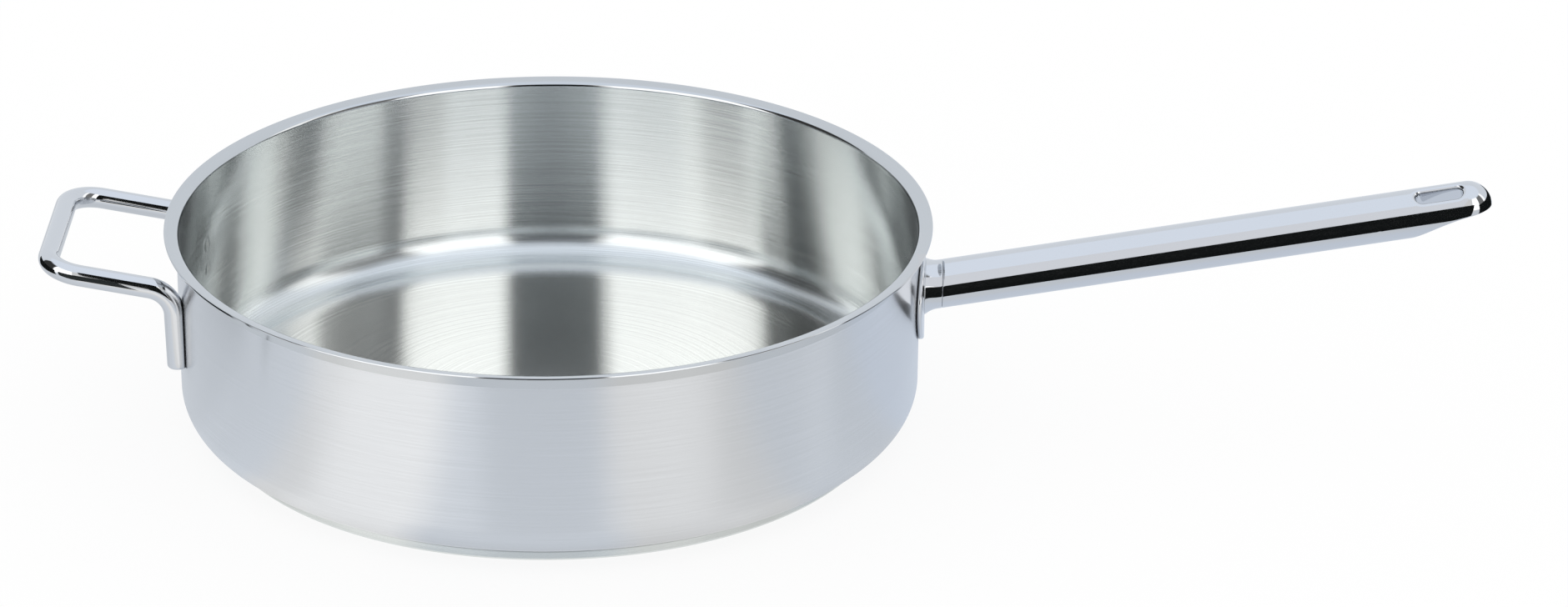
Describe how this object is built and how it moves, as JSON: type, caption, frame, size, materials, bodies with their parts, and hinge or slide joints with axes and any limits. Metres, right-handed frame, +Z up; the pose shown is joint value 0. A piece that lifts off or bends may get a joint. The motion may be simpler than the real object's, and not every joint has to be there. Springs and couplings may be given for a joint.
{
  "type": "deep frying pan",
  "caption": "Straight-sided deep frying pan in stainless steel with a flared pouring lip, a sandwich base, a long tubular handle with a hanging eye and a bent-rod helper handle.",
  "frame": {"origin": "centre of the flat face of the base that the pan stands on", "axes": "+Z up along the bowl's axis, +X along the long handle, -X towards the helper handle"},
  "size_m": [0.5478, 0.2912, 0.0998],
  "materials": {
    "bowl_steel": "satin, brushed round the wall and in circles on the floor",
    "capsule_steel": "satin magnetic steel",
    "polished_steel": "mirror polished",
    "core_aluminium": "bare, sealed in",
    "braze_alloy": "bare, sealed in"
  },
  "bodies": {
    "root": {"pan_bowl": "bowl_steel", "base_capsule": "capsule_steel", "base_lower_braze": "braze_alloy", "base_core": "core_aluminium", "base_upper_braze": "braze_alloy", "handle_flange": "polished_steel", "handle_neck": "polished_steel", "handle_tube": "polished_steel", "handle_tip": "polished_steel", "helper_handle": "polished_steel"}
  },
  "joints": []
}
